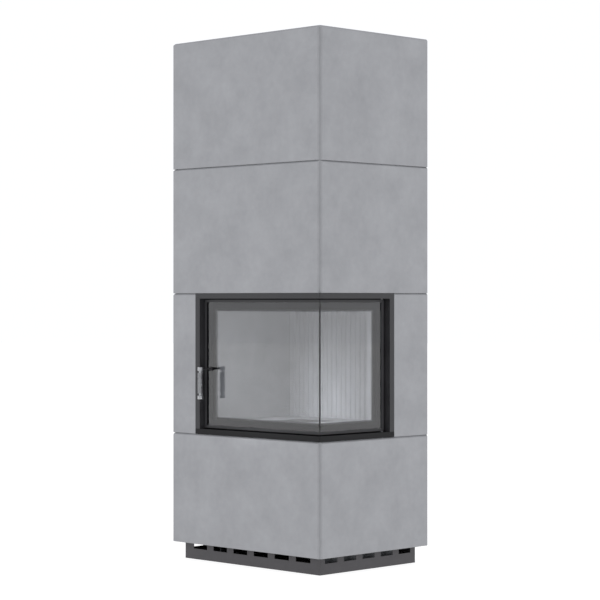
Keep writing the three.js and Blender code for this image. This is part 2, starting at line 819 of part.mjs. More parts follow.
// Ledges under the floor that hold the air slide up.
function slideGuides() {
  const x = [slideX[0] - slideGuide, slideX[1] + airTravel + slideGuide];
  const ledgeTop = slideTop - slideThickness - clearance;
  const z = [ledgeTop - slideGuide, floorBottom + over];
  const ledge = [z[0], ledgeTop];
  return [
    block(x, [slideY[0] - clearance - slideGuide, slideY[0] - clearance], z),
    block(x, [slideY[0] - clearance - slideGuide, slideY[0] + slideMargin - clearance], ledge),
    block(x, [slideY[1] + clearance, slideY[1] + clearance + slideGuide], z),
    block(x, [slideY[1] - slideMargin + clearance, slideY[1] + clearance + slideGuide], ledge),
  ];
}

function fireboxFloor() {
  const plate = block([fireboxLeft, fireboxRight], [fireboxFront, fireboxRear], [floorBottom, floorTop]);
  const upstandZ = [floorBottom, leafBottom + sealBand];
  const frontUpstand = block([flangeEdge, fireboxRight], [fireboxFront, insideFront], upstandZ);
  const sideUpstand = block([insideRight, fireboxRight], [fireboxFront, stubFront], upstandZ);
  const throat = stemRadius + clearance;
  const stemSlot = block(
    [knobX - throat, knobX + airTravel + throat], [slideCentre - throat, slideCentre + throat],
    [floorBottom - over, floorTop + over],
  );
  const whole = join(plate, frontUpstand, sideUpstand, ...slideGuides());
  return cut(whole, stemSlot, ...airPorts([floorBottom - over, floorTop + over]));
}

// One sheet folded round the back of the firebox, from the latch jamb to the hinge jamb.
function fireboxWalls() {
  const z = [floorTop, wallTop];
  return join(
    block([fireboxLeft, flangeEdge], [fireboxFront, insideFront], z),
    block([fireboxLeft, insideLeft], [fireboxFront, fireboxRear], z),
    block([fireboxLeft, fireboxRight], [insideRear, fireboxRear], z),
    block([insideRight, fireboxRight], [stubFront, fireboxRear], z),
  );
}

function hood() {
  const [cx, cy] = flueCentre;
  const outline = (inset) => [
    [fireboxLeft + inset, fireboxRight - inset],
    [fireboxFront + inset, fireboxRear - inset],
  ];
  const crown = (inset) => {
    const half = hoodTop / 2 - inset;
    return [[cx - half, cx + half], [cy - half, cy + half]];
  };
  const skin = (inset, drop) => [
    block(...outline(inset), [wallTop - drop, skirtTop]),
    frustum(outline(inset), crown(inset), [skirtTop, hoodCrown - inset]),
  ];
  const collar = extrude("z", circle(flueCentre, flueRadius), [hoodCrown - wallSheet, fluePipeHeight]);
  const boreZ = [hoodCrown - 2 * wallSheet, fluePipeHeight + over];
  const bore = extrude("z", circle(flueCentre, flueRadius - pipeSheet), boreZ);
  return cut(join(...skin(0, 0), collar), join(...skin(wallSheet, over)), bore);
}

// Flue: a pipe up from the collar, a bend to the back, and an outlet pipe through the back board.
const bendStart = fluePipeHeight + flueRise;
const outletStart = flueCentre[1] + flueBend;
const outletCentre = [flueCentre[0], flueLevel];
const flueSides = 32;
const flueSteps = 10;

function flueRiser() {
  const pipe = extrude("z", circle(flueCentre, flueRadius), [fluePipeHeight, bendStart]);
  const boreZ = [fluePipeHeight - over, bendStart + over];
  return cut(pipe, extrude("z", circle(flueCentre, flueRadius - pipeSheet), boreZ));
}

// Quarter bend drawn round its middle line; extra straight length at both ends.
function bendTube(radius, extra) {
  const [x, y] = flueCentre;
  const ringAt = (turn, along) => Array.from({ length: flueSides }, (_, side) => {
    const round = (2 * Math.PI * side) / flueSides;
    const reach = flueBend - radius * Math.sin(round);
    return new THREE.Vector3(
      x + radius * Math.cos(round),
      y + flueBend - reach * Math.cos(turn) + along * Math.sin(turn),
      bendStart + reach * Math.sin(turn) + along * Math.cos(turn),
    );
  });
  const rings = Array.from({ length: flueSteps + 1 }, (_, i) => ringAt((Math.PI * i) / (2 * flueSteps), 0));
  return loft(extra ? [ringAt(0, -extra), ...rings, ringAt(Math.PI / 2, extra)] : rings);
}

function pipeFlange([x, z], radius) {
  return extrude("y", circle([z, x], radius), [boardFace, boardFace + flangeThickness]);
}

function flueOutlet() {
  const [x, z] = outletCentre;
  const pipe = extrude("y", circle([z, x], flueRadius), [outletStart, boardFace + over]);
  const bore = extrude("y", circle([z, x], flueRadius - pipeSheet), [outletStart - over, back + over]);
  return cut(join(pipe, pipeFlange(outletCentre, flueFlange)), bore);
}

// Box under the floor round the air slide, fed by the outside-air spigot through the back board.
function airBox() {
  const shell = (inset, lift) => block(
    [airBoxLeft + inset, airBoxLeft + airBoxWidth - inset],
    [fireboxFront + inset, fireboxFront + airBoxDepth - inset],
    [floorBottom - airBoxHeight + inset, floorBottom + lift],
  );
  const [x, z] = spigotCentre;
  const pipeStart = fireboxFront + airBoxDepth - airBoxSheet;
  const pipe = extrude("y", circle([z, x], spigotRadius), [pipeStart, boardFace + over]);
  const bore = extrude("y", circle([z, x], spigotRadius - pipeSheet), [pipeStart - over, back + over]);
  const whole = join(shell(0, 0), pipe, pipeFlange(spigotCentre, spigotFlange));
  return cut(whole, shell(airBoxSheet, over), bore);
}

function stand(x0) {
  const x = [x0, x0 + standWidth];
  const y = [fireboxFront + standSetback, fireboxRear - standRearSetback];
  const middle = x0 + standWidth / 2;
  return join(
    block([middle - wallSheet / 2, middle + wallSheet / 2], y, [basePlate, floorBottom]),
    block(x, y, [basePlate, basePlate + wallSheet]),
    block(x, y, [floorBottom - wallSheet, floorBottom]),
  );
}

function addFirebox() {
  add("stand_left", stand(fireboxLeft + standInset), darkSteel);
  add("stand_right", stand(fireboxRight - standInset - standWidth), darkSteel);
  add("firebox_floor", fireboxFloor(), darkSteel);
  add("firebox_walls", fireboxWalls(), darkSteel);
  add("firebox_hood", hood(), darkSteel);
  add("flue_riser", flueRiser(), darkSteel);
  add("flue_bend", cut(bendTube(flueRadius, 0), bendTube(flueRadius - pipeSheet, over)), darkSteel);
  add("flue_outlet", flueOutlet(), darkSteel);
  add("air_box", airBox(), bareSteel);
}

// ---- Linings, grate and air slide ---------------------------------------------------------------------

const grateX = [flueCentre[0] - grateLength / 2, flueCentre[0] + grateLength / 2];
const grateY = [flueCentre[1] - grateWidth / 2, flueCentre[1] + grateWidth / 2];

function grown([from, to], by) {
  return [from - by, to + by];
}

function ribbedLining(x, y, z) {
  const run = x[1] - x[0] - 2 * ribMargin;
  const count = Math.floor(run / ribPitch);
  const first = (x[0] + x[1]) / 2 - ((count - 1) * ribPitch) / 2;
  const outline = [[x[1], y[0]], [x[1], y[1]], [x[0], y[1]], [x[0], y[0]]];
  const taper = ribDepth / 2;
  for (let i = 0; i < count; i += 1) {
    const middle = first + i * ribPitch;
    outline.push(
      [middle - ribGroove / 2, y[0]],
      [middle - ribGroove / 2 + taper, y[0] + ribDepth],
      [middle + ribGroove / 2 - taper, y[0] + ribDepth],
      [middle + ribGroove / 2, y[0]],
    );
  }
  return extrude("z", outline, z);
}

function addLinings() {
  const x = [insideLeft + clearance, insideRight - clearance];
  const z = [slabTop, wallTop - 2 * clearance];
  const rearFace = insideRear - clearance - liningThickness;
  const sideRear = rearFace - clearance;
  add("lining_back", ribbedLining(x, [rearFace, insideRear - clearance], z), fireclay);
  const leftRun = [fireboxFront + liningFrontGap, sideRear];
  add("lining_left", block([x[0], x[0] + liningThickness], leftRun, z), fireclay);
  add("lining_right", block([x[1] - liningThickness, x[1]], [stubFront + wallSheet, sideRear], z), fireclay);
  const slab = block(x, [insideFront + clearance, insideRear - clearance], [floorTop, slabTop]);
  const airPocket = block(pocketX, [insideFront, pocketRear], [floorTop - over, slabTop + over]);
  const seatZ = [slabTop - grateThickness, slabTop + over];
  const seat = block(grown(grateX, clearance), grown(grateY, clearance), seatZ);
  const well = block(grown(grateX, -grateSeat), grown(grateY, -grateSeat), [floorTop - over, slabTop]);
  add("hearth_slab", cut(slab, airPocket, seat, well), fireclay);
  const baffleY = [fireboxFront + smokeGap, insideRear - clearance];
  add("baffle", block(grown(x, -clearance), baffleY, [z[1], z[1] + baffleThickness]), fireclay);
}

function addGrate() {
  const z = [slabTop - grateThickness, slabTop];
  const openRun = grateLength - 2 * grateSeat;
  const gap = (openRun - grateBars * barWidth) / (grateBars - 1);
  const slots = Array.from({ length: grateBars - 1 }, (_, i) => {
    const from = grateX[0] + grateSeat + barWidth + i * (barWidth + gap);
    return block([from, from + gap], grown(grateY, -grateSeat), [z[0] - over, z[1] + over]);
  });
  add("grate", cut(block(grateX, grateY, z), ...slots), ironCast);
  const panX = grown(grateX, -grateSeat - panGap);
  const panY = grown(grateY, -grateSeat - panGap);
  const hollow = block(grown(panX, -panSheet), grown(panY, -panSheet), [floorTop + panSheet, slabTop]);
  add("ash_pan", cut(block(panX, panY, [floorTop, floorTop + panHeight]), hollow), bareSteel);
}

function addAirSlide() {
  const z = [slideTop - slideThickness, slideTop];
  const knobBottom = floorTop + knobLift;
  const centre = [knobX, slideCentre];
  const stem = extrude("z", circle(centre, stemRadius, 12), [z[0], knobBottom + over]);
  const knob = extrude("z", circle(centre, knobRadius, 20), [knobBottom, knobBottom + knobHeight]);
  const plate = cut(block(slideX, slideY, z), ...airPorts([z[0] - over, z[1] + over]));
  add("air_slide", join(plate, stem, knob), bareSteel);
}

// ---- Assembly -----------------------------------------------------------------------------------------

courses.forEach(addCourse);
addOpeningCourse();
addBackAndCover();
addPlinth();
addFrame();
addLeaf();
addHingePins();
addHandle();
addFirebox();
addLinings();
addGrate();
addAirSlide();

export default fireplace;
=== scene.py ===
import json
from math import atan, ceil, cos, pi, radians, sin, tau

import bmesh
import bpy
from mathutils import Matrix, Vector

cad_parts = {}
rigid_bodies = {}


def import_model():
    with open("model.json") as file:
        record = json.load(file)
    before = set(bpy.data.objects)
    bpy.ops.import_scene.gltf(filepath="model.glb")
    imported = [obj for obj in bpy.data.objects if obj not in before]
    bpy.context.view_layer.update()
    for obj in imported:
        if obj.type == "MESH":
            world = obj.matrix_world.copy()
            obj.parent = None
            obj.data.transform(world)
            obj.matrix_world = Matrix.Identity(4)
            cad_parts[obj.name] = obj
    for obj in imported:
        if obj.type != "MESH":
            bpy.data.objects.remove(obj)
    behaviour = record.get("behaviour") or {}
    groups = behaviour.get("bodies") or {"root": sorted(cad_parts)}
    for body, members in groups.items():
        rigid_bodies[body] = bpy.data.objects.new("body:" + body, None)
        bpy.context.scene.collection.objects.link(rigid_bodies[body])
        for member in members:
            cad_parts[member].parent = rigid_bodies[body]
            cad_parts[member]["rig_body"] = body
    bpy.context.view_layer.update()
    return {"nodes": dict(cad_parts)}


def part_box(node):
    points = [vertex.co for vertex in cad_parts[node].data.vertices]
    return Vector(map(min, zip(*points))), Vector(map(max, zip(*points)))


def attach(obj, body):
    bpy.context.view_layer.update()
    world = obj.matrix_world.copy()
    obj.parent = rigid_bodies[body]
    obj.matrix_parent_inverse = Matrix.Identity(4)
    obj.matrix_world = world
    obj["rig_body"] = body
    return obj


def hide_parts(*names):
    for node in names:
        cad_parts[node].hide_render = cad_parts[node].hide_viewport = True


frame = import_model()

MM = 0.001

# ---- Camera ---------------------------------------------------------------------------------------
# The photograph's viewpoint: level, seven and a half metres off the front corner, through a long
# lens whose small shift puts the horizon at its height in the picture.

EYE = Vector((5.7114, -5.7491, 1.0412))
LOOKING = Vector((-0.7045, 0.7097, 0.0))
SENSOR_WIDTH = 36.0
FOCAL_LENGTH = 121.76
LENS_SHIFT = -0.0011
FARTHEST = 200.0

lens = bpy.data.cameras.new("photo_camera")
lens.sensor_width = SENSOR_WIDTH
lens.lens = FOCAL_LENGTH
lens.shift_y = LENS_SHIFT
lens.clip_end = FARTHEST
camera = bpy.data.objects.new("photo_camera", lens)
camera.location = EYE
camera.rotation_euler = LOOKING.to_track_quat("-Z", "Y").to_euler()
bpy.context.scene.collection.objects.link(camera)
bpy.context.scene.camera = camera

# ---- Studio ---------------------------------------------------------------------------------------
# An evenly lit white studio: a backlit acrylic floor, cool white light from all round, and a soft
# box on either side that shows as an even sheen on the panes. Narrow spots at five heights and from
# three directions shine in through the panes and light the linings, most of all near the hearth.

FLOOR_RADIUS = 40.0
FLOOR_SIDES = 96
FLOOR_HEX = 0x8C8C8C
FLOOR_GLOW = 0.84
COOL_WHITE = (1.0, 1.006, 1.035)
AROUND_STRENGTH = 1.0
BOX_SIZE = 2.6
BOX_DISTANCE = 5.0
BOX_AIM = Vector((0.2, -0.2, 0.75))
BOX_RADIANCE = 0.8
SPOT_AIM = Vector((0.08, -0.34, 0.775))
SPOT_DISTANCE = 7.0
SPOT_CONE = radians(3.5)
SPOT_BLEND = 1.0
SPOT_RADIUS = 0.1

# The spots' heights above level in degrees, and the turns from straight ahead with their power.
SPOT_HEIGHTS = (8, 16, 24, 32, 40)
SPOT_POWERS = {-30: 250.0, 8: 540.0, 35: 150.0}


def linear(hex_colour):
    """The linear colour of an sRGB hex value."""
    channels = [(hex_colour >> shift & 255) / 255 for shift in (16, 8, 0)]
    return (*(c / 12.92 if c <= 0.04045 else ((c + 0.055) / 1.055) ** 2.4 for c in channels), 1.0)


def add(tree, kind, inputs=(), **properties):
    """Adds a shader node. Its inputs come in a list by order or in a dict by name. A socket is
    linked, and so is the first output of a node. Anything else is the input's value."""
    made = tree.nodes.new("ShaderNode" + kind)
    for name, value in properties.items():
        setattr(made, name, value)
    for key, value in inputs.items() if isinstance(inputs, dict) else enumerate(inputs):
        if isinstance(value, bpy.types.Node):
            value = value.outputs[0]
        if isinstance(value, bpy.types.NodeSocket):
            tree.links.new(value, made.inputs[key])
        else:
            made.inputs[key].default_value = value
    return made


def new_material(name):
    material = bpy.data.materials.new(name)
    material.use_nodes = True
    material.node_tree.nodes.clear()
    return material, material.node_tree


def new_piece(name, shape, material):
    """Turns a finished bmesh into an object of that name."""
    mesh = bpy.data.meshes.new(name)
    shape.to_mesh(mesh)
    shape.free()
    mesh.materials.append(material)
    piece = bpy.data.objects.new(name, mesh)
    bpy.context.scene.collection.objects.link(piece)
    return piece


world = bpy.data.worlds.new("white_studio")
world.use_nodes = True
around = world.node_tree.nodes["Background"]
around.inputs["Color"].default_value = (*COOL_WHITE, 1.0)
around.inputs["Strength"].default_value = AROUND_STRENGTH
bpy.context.scene.world = world
bpy.context.scene.view_settings.view_transform = "Standard"


def hang_light(name, kind, place, aim):
    """A lamp at a place, turned towards the point it aims at."""
    light = bpy.data.lights.new(name, kind)
    light.color = COOL_WHITE
    lamp = bpy.data.objects.new(name, light)
    lamp.location = place
    lamp.rotation_euler = (aim - place).to_track_quat("-Z", "Y").to_euler()
    bpy.context.scene.collection.objects.link(lamp)
    return light


for height in SPOT_HEIGHTS:
    for turn, power in SPOT_POWERS.items():
        rise, swing = radians(height), radians(turn)
        towards = Vector((sin(swing) * cos(rise), -cos(swing) * cos(rise), sin(rise)))
        place = SPOT_AIM + SPOT_DISTANCE * towards
        spot = hang_light(f"lining_spot_{height}_{turn}", "SPOT", place, SPOT_AIM)
        spot.energy = power
        spot.spot_size = SPOT_CONE
        spot.spot_blend = SPOT_BLEND
        spot.shadow_soft_size = SPOT_RADIUS
for name, side in (("soft_box_left", -1), ("soft_box_right", 1)):
    aside = side * BOX_DISTANCE * Vector((LOOKING.y, -LOOKING.x, 0))
    soft_box = hang_light(name, "AREA", BOX_AIM + aside, BOX_AIM)
    soft_box.size = BOX_SIZE
    soft_box.energy = BOX_RADIANCE * pi * BOX_SIZE ** 2

floor_sheet, tree = new_material("backlit_white_acrylic")
shader = add(tree, "BsdfPrincipled", {
    "Base Color": linear(FLOOR_HEX), "Roughness": 0.9, "Specular IOR Level": 0.2,
    "Emission Color": (1.0, 1.0, 1.0, 1.0), "Emission Strength": FLOOR_GLOW,
})
add(tree, "OutputMaterial", [shader])
disc = bmesh.new()
bmesh.ops.create_circle(disc, cap_ends=True, segments=FLOOR_SIDES, radius=FLOOR_RADIUS)
studio_floor = new_piece("studio_floor", disc, floor_sheet)

# ---- Concrete panels ------------------------------------------------------------------------------
# Twelve panels of smooth cast concrete, 50 mm thick, mitred at the front corners. They are cast
# face down in polished moulds: close and even, with soft clouds of lighter and darker grey, a few
# pinholes and a fine matt skin. The pinholes and the bevels are painted a shade darker: painted
# shade, for the shade in the pits and on the slanting faces.

CONCRETE_DARK = 0x8E8F92
CONCRETE_LIGHT = 0x9D9EA1
CONCRETE_ROUGHNESS = (0.74, 0.86)

# The painted shade on a bevel, and the largest part of the normal of a face that slants and of one
# that doesn't.
PAINTED_BEVEL_SHADE = 0.93
SLANTED = 0.80
SQUARE = 0.95

# Each pour's pattern is taken that many metres further on, along x, y and z.
POUR_SHIFT = (1.7, 0.9, 2.3)
CLOUD = 150 * MM
CLOUD_SHARE = 0.7
MOTTLE = 26 * MM
MOTTLE_SHARE = 0.3

# Sand grains are finer than this and are drawn coarser, so that they show from near.
SAND = 1.6 * MM
SAND_DEPTH = 0.05 * MM

# Pinholes lie in cells of this size, and the last number is the share of the cells that have none.
# The pinholes' darker grey is painted shade, for the shade inside each pit.
PINHOLE_SHADE = 0x737477
PINHOLE_SPACING = 34 * MM
PINHOLE_RADIUS = 0.9 * MM
PINHOLE_DEPTH = 0.7 * MM
PINHOLE_FREE = 0.55

PANEL_EDGE = 0.8 * MM
PANELS = [
    "base_front", "base_right", "base_left", "pier_front", "pier_rear", "opening_left",
    "upper_front", "upper_right", "upper_left", "top_front", "top_right", "top_left",
]

# Most values of a noise lie in these ranges. The wide one gives a softer contrast.
WIDE = (0.3, 0.7)
NARROW = (0.35, 0.65)

MERGE = 0.01 * MM
FLAT = radians(1)
SHARP = radians(20)
CREASE = radians(40)


def toned(tree, field, limits, dark, light):
    """Goes from a dark to a light hex colour as a field passes through the limits."""
    share = add(tree, "MapRange", [field, *limits])
    return add(tree, "MixRGB", [share, linear(dark), linear(light)])


def paint_shade_on_bevels(tree, colour, shade):
    """Darkens a colour on faces that slope between the main directions: painted shade."""
    normal = add(tree, "NewGeometry").outputs["True Normal"]
    parts = add(tree, "SeparateXYZ", [normal]).outputs
    steepest, *others = [add(tree, "Math", [part], operation="ABSOLUTE") for part in parts]
    for other in others:
        steepest = add(tree, "Math", [steepest, other], operation="MAXIMUM")
    flat = add(tree, "MapRange", [steepest, SLANTED, SQUARE, shade, 1.0])
    return add(tree, "VectorMath", {0: colour, "Scale": flat}, operation="SCALE")


def cast_concrete(number):
    """Each panel is another pour, so its clouds and its tone are its own."""
    material, tree = new_material(f"cast_concrete_{number:02d}")
    place = add(tree, "TexCoord").outputs["Object"]
    shift = [step * number for step in POUR_SHIFT]
    space = add(tree, "Mapping", {"Vector": place, "Location": shift})
    clouds = add(tree, "TexNoise", {
        "Vector": space, "Scale": 1 / CLOUD, "Detail": 5.0, "Roughness": 0.6,
    })
    mottle = add(tree, "TexNoise", {
        "Vector": space, "Scale": 1 / MOTTLE, "Detail": 3.0, "Roughness": 0.55,
    })
    sand = add(tree, "TexNoise", {
        "Vector": space, "Scale": 1 / SAND, "Detail": 2.0, "Roughness": 0.55,
    })
    broad = add(tree, "Math", [clouds, CLOUD_SHARE], operation="MULTIPLY")
    small = add(tree, "Math", [mottle, MOTTLE_SHARE], operation="MULTIPLY")
    tone = add(tree, "Math", [broad, small], operation="ADD")
    colour = toned(tree, tone, WIDE, CONCRETE_DARK, CONCRETE_LIGHT)
    cells = add(tree, "TexVoronoi", {"Vector": space, "Scale": 1 / PINHOLE_SPACING})
    reach = PINHOLE_RADIUS / PINHOLE_SPACING
    outside = add(tree, "MapRange", [cells.outputs["Distance"], 0.0, reach])
    chosen = add(tree, "SeparateColor", [cells.outputs["Color"]])
    unbroken = add(tree, "Math", [chosen, PINHOLE_FREE], operation="LESS_THAN")
    solid = add(tree, "Math", [outside, unbroken], operation="MAXIMUM")
    # Inside each pinhole the colour is painted shade.
    colour = add(tree, "MixRGB", [solid, linear(PINHOLE_SHADE), colour])
    # The slanting bevels are painted a shade darker: painted shade.
    colour = paint_shade_on_bevels(tree, colour, PAINTED_BEVEL_SHADE)
    skin = add(tree, "Bump", {"Height": sand, "Distance": SAND_DEPTH})
    normal = add(tree, "Bump", {"Height": solid, "Distance": PINHOLE_DEPTH, "Normal": skin})
    roughness = add(tree, "MapRange", [mottle, *WIDE, *CONCRETE_ROUGHNESS])
    shader = add(tree, "BsdfPrincipled", {
        "Base Color": colour, "Roughness": roughness, "Normal": normal, "Specular IOR Level": 0.35,
    })
    add(tree, "OutputMaterial", [shader])
    return material


def eased(cad, name, radius, material, steps=2):
    """A copy of a CAD piece with its facets merged and its edges eased, standing for it."""
    shape = bmesh.new()
    shape.from_mesh(frame["nodes"][cad].data)
    bmesh.ops.remove_doubles(shape, verts=shape.verts, dist=MERGE)
    bmesh.ops.dissolve_limit(shape, angle_limit=FLAT, verts=shape.verts, edges=shape.edges)
    edges = [e for e in shape.edges if len(e.link_faces) == 2 and e.calc_face_angle() > SHARP]
    bmesh.ops.bevel(
        shape, geom=edges, affect="EDGES", offset=radius, segments=steps, profile=0.5,
        clamp_overlap=True, material=-1,
    )
    for face in shape.faces:
        face.smooth = True
    for edge in shape.edges:
        edge.smooth = len(edge.link_faces) == 2 and edge.calc_face_angle() < CREASE
    piece = new_piece(name, shape, material)
    weighted = piece.modifiers.new("even_faces", "WEIGHTED_NORMAL")
    weighted.keep_sharp = True
    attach(piece, frame["nodes"][cad]["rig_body"])
    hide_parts(cad)


for number, cad in enumerate(PANELS):
    eased(cad, cad + "_panel", PANEL_EDGE, cast_concrete(number))

# ---- Plinth ---------------------------------------------------------------------------------------
# A low base of folded 2 mm sheet steel set back under the panels, with a row of punched slots that
# lets cool air in. Dark grey powder coat: an even satin skin with a fine pebble.

COAT_DARK = 0x343235
COAT_LIGHT = 0x3E3C3F
COAT_ROUGHNESS = (0.42, 0.55)
PEBBLE = 1.4 * MM
PEBBLE_DEPTH = 0.03 * MM
DUST = 45 * MM
STRIP_EDGE = 0.4 * MM


def powder_coat():
    """Satin and even, a little dusty, with a fine pebble."""
    material, tree = new_material("grey_powder_coat")
    place = add(tree, "TexCoord").outputs["Object"]
    pebble = add(tree, "TexNoise", {
        "Vector": place, "Scale": 1 / PEBBLE, "Detail": 1.0, "Roughness": 0.55,
    })
    dust = add(tree, "TexNoise", {
        "Vector": place, "Scale": 1 / DUST, "Detail": 6.0, "Roughness": 0.65,
    })
    colour = toned(tree, dust, NARROW, COAT_DARK, COAT_LIGHT)
    roughness = add(tree, "MapRange", [dust, *WIDE, *COAT_ROUGHNESS])
    normal = add(tree, "Bump", {"Height": pebble, "Distance": PEBBLE_DEPTH})
    shader = add(tree, "BsdfPrincipled", {
        "Base Color": colour, "Roughness": roughness, "Normal": normal,
    })
    add(tree, "OutputMaterial", [shader])
    return material


coated_steel = powder_coat()
for cad in ("plinth_front", "plinth_right", "plinth_left", "plinth_rear"):
    eased(cad, cad + "_strip", STRIP_EDGE, coated_steel)

# ---- Base plate, stand and lintel -----------------------------------------------------------------
# The structural sheet steel inside the surround, hot-dip galvanised: dull dark zinc with a faint
# spangle. The CAD pieces have the right shape, so they only get this finish.

ZINC_DARK = 0x56585B
ZINC_LIGHT = 0x696B6E
SPANGLE = 9 * MM


def galvanised():
    """Flat crystals of zinc, each a slightly different grey."""
    material, tree = new_material("galvanised_steel")
    place = add(tree, "TexCoord").outputs["Object"]
    cells = add(tree, "TexVoronoi", {"Vector": place, "Scale": 1 / SPANGLE})
    tone = add(tree, "SeparateColor", [cells.outputs["Color"]])
    colour = add(tree, "MixRGB", [tone, linear(ZINC_DARK), linear(ZINC_LIGHT)])
    shader = add(tree, "BsdfPrincipled", {
        "Base Color": colour, "Roughness": 0.5, "Metallic": 0.5,
    })
    add(tree, "OutputMaterial", [shader])
    return material


def paint(material, *cad_nodes):
    """Gives CAD pieces whose shape is right a real finish."""
    for cad in cad_nodes:
        node = frame["nodes"][cad]
        node.data.materials.clear()
        node.data.materials.append(material)


paint(galvanised(), "base_plate", "stand_left", "stand_right", "lintel")

# ---- Back boards and top cover --------------------------------------------------------------------
# Pressed calcium-silicate board, 30 mm at the back and 25 mm on top, sawn to size: pale, chalky and
# matt, with short fibres in its face and a faint combed texture.

BOARD_DARK = 0xC6C3BB
BOARD_LIGHT = 0xD8D5CE
CHALK = 60 * MM
CHALK_SHARE = 0.6
FIBRE = 2.5 * MM
FIBRE_SHARE = 0.4
FIBRE_STRETCH = 0.25
FIBRE_DEPTH = 0.25 * MM
BOARD_EDGE = 0.8 * MM


def silicate_board():
    """Chalky patches under a faint upright comb of short fibres."""
    material, tree = new_material("calcium_silicate_board")
    place = add(tree, "TexCoord").outputs["Object"]
    chalk = add(tree, "TexNoise", {
        "Vector": place, "Scale": 1 / CHALK, "Detail": 5.0, "Roughness": 0.55,
    })
    combed = add(tree, "Mapping", {"Vector": place, "Scale": (1.0, 1.0, FIBRE_STRETCH)})
    fibres = add(tree, "TexNoise", {
        "Vector": combed, "Scale": 1 / FIBRE, "Detail": 3.0, "Roughness": 0.7,
    })
    broad = add(tree, "Math", [chalk, CHALK_SHARE], operation="MULTIPLY")
    small = add(tree, "Math", [fibres, FIBRE_SHARE], operation="MULTIPLY")
    tone = add(tree, "Math", [broad, small], operation="ADD")
    colour = toned(tree, tone, NARROW, BOARD_DARK, BOARD_LIGHT)
    normal = add(tree, "Bump", {"Height": fibres, "Distance": FIBRE_DEPTH})
    shader = add(tree, "BsdfPrincipled", {
        "Base Color": colour, "Normal": normal, "Roughness": 0.95, "Specular IOR Level": 0.2,
    })
    add(tree, "OutputMaterial", [shader])
    return material


chalky_board = silicate_board()
for cad in ("back_board_lower", "back_board_upper", "top_cover"):
    eased(cad, cad + "_sheet", BOARD_EDGE, chalky_board)

# ---- Fixed frame ----------------------------------------------------------------------------------
# Folded steel angles round the opening, flush with the panels, that run in to the firebox as a
# reveal. Heat-resistant black stove paint: satin, nearly neutral, with a faint orange peel. The
# sill's paint is darker and duller: painted shade, for the shade its face lies in.

PAINT_DARK = 0x2B2B2D
PAINT_LIGHT = 0x343436
# The sill's darker, duller paint is painted shade, for the shade its face lies in.
SILL_SHADE_DARK = 0x161617
SILL_SHADE_LIGHT = 0x1D1D1E
PAINT_SHEEN = 0.28
SILL_SHADE_SHEEN = 0.12
PAINT_ROUGHNESS = (0.40, 0.52)
PEEL = 2.2 * MM
PEEL_DEPTH = 0.04 * MM
BLOOM = 70 * MM
ANGLE_EDGE = 0.6 * MM


def stove_paint(name, dark, light, sheen):
    """Baked on by the fire: black with a soft bloom, over a faint orange peel."""
    material, tree = new_material(name)
    place = add(tree, "TexCoord").outputs["Object"]
    peel = add(tree, "TexNoise", {
        "Vector": place, "Scale": 1 / PEEL, "Detail": 2.0, "Roughness": 0.55,
    })
    bloom = add(tree, "TexNoise", {
        "Vector": place, "Scale": 1 / BLOOM, "Detail": 5.0, "Roughness": 0.6,
    })
    colour = toned(tree, bloom, WIDE, dark, light)
    roughness = add(tree, "MapRange", [bloom, *WIDE, *PAINT_ROUGHNESS])
    normal = add(tree, "Bump", {"Height": peel, "Distance": PEEL_DEPTH})
    shader = add(tree, "BsdfPrincipled", {
        "Base Color": colour, "Roughness": roughness, "Normal": normal, "Specular IOR Level": sheen,
    })
    add(tree, "OutputMaterial", [shader])
    return material


painted_steel = stove_paint("black_stove_paint", PAINT_DARK, PAINT_LIGHT, PAINT_SHEEN)
# The same paint made darker and duller for the sill: painted shade.
shaded_sill_steel = stove_paint("sooty_stove_paint", SILL_SHADE_DARK, SILL_SHADE_LIGHT, SILL_SHADE_SHEEN)
FRAME_PARTS = (
    "frame_head_front", "frame_head_side", "frame_sill_front", "frame_sill_side",
    "frame_jamb_latch", "frame_jamb_hinge",
)
for cad in FRAME_PARTS:
    # The sill gets the darker paint: painted shade.
    paintwork = shaded_sill_steel if "sill" in cad else painted_steel
    eased(cad, cad + "_angle", ANGLE_EDGE, paintwork)

# ---- Firebox shell and flue -----------------------------------------------------------------------
# Floor, walls and hood of 4 mm boiler plate, welded together, and a flue pipe of bent and straight
# lengths. All are sprayed with grey heat-resistant paint, which dries matt and a little cloudy.

HEAT_PAINT_DARK = 0x3A393A
HEAT_PAINT_LIGHT = 0x4A494A
HEAT_PAINT_ROUGHNESS = (0.62, 0.74)
HAZE = 90 * MM
SPRAY = 1.1 * MM
SPRAY_DEPTH = 0.04 * MM
PLATE_EDGE = 0.5 * MM
PIPE_EDGE = 0.4 * MM


def heat_paint():
    """A matt haze of lighter and darker grey with the fine grain of dry spray."""
    material, tree = new_material("grey_heat_paint")
    place = add(tree, "TexCoord").outputs["Object"]
    haze = add(tree, "TexNoise", {
        "Vector": place, "Scale": 1 / HAZE, "Detail": 6.0, "Roughness": 0.65,
    })
    spray = add(tree, "TexNoise", {
        "Vector": place, "Scale": 1 / SPRAY, "Detail": 2.0, "Roughness": 0.55,
    })
    colour = toned(tree, haze, WIDE, HEAT_PAINT_DARK, HEAT_PAINT_LIGHT)
    roughness = add(tree, "MapRange", [haze, *WIDE, *HEAT_PAINT_ROUGHNESS])
    normal = add(tree, "Bump", {"Height": spray, "Distance": SPRAY_DEPTH})
    shader = add(tree, "BsdfPrincipled", {
        "Base Color": colour, "Roughness": roughness, "Normal": normal,
    })
    add(tree, "OutputMaterial", [shader])
    return material


heat_painted_steel = heat_paint()
for cad in ("firebox_floor", "firebox_walls"):
    eased(cad, cad + "_plate", PLATE_EDGE, heat_painted_steel)
eased("firebox_hood", "firebox_hood_shell", PLATE_EDGE, heat_painted_steel)
for cad in ("flue_riser", "flue_bend", "flue_outlet"):
    eased(cad, cad + "_pipe", PIPE_EDGE, heat_painted_steel)

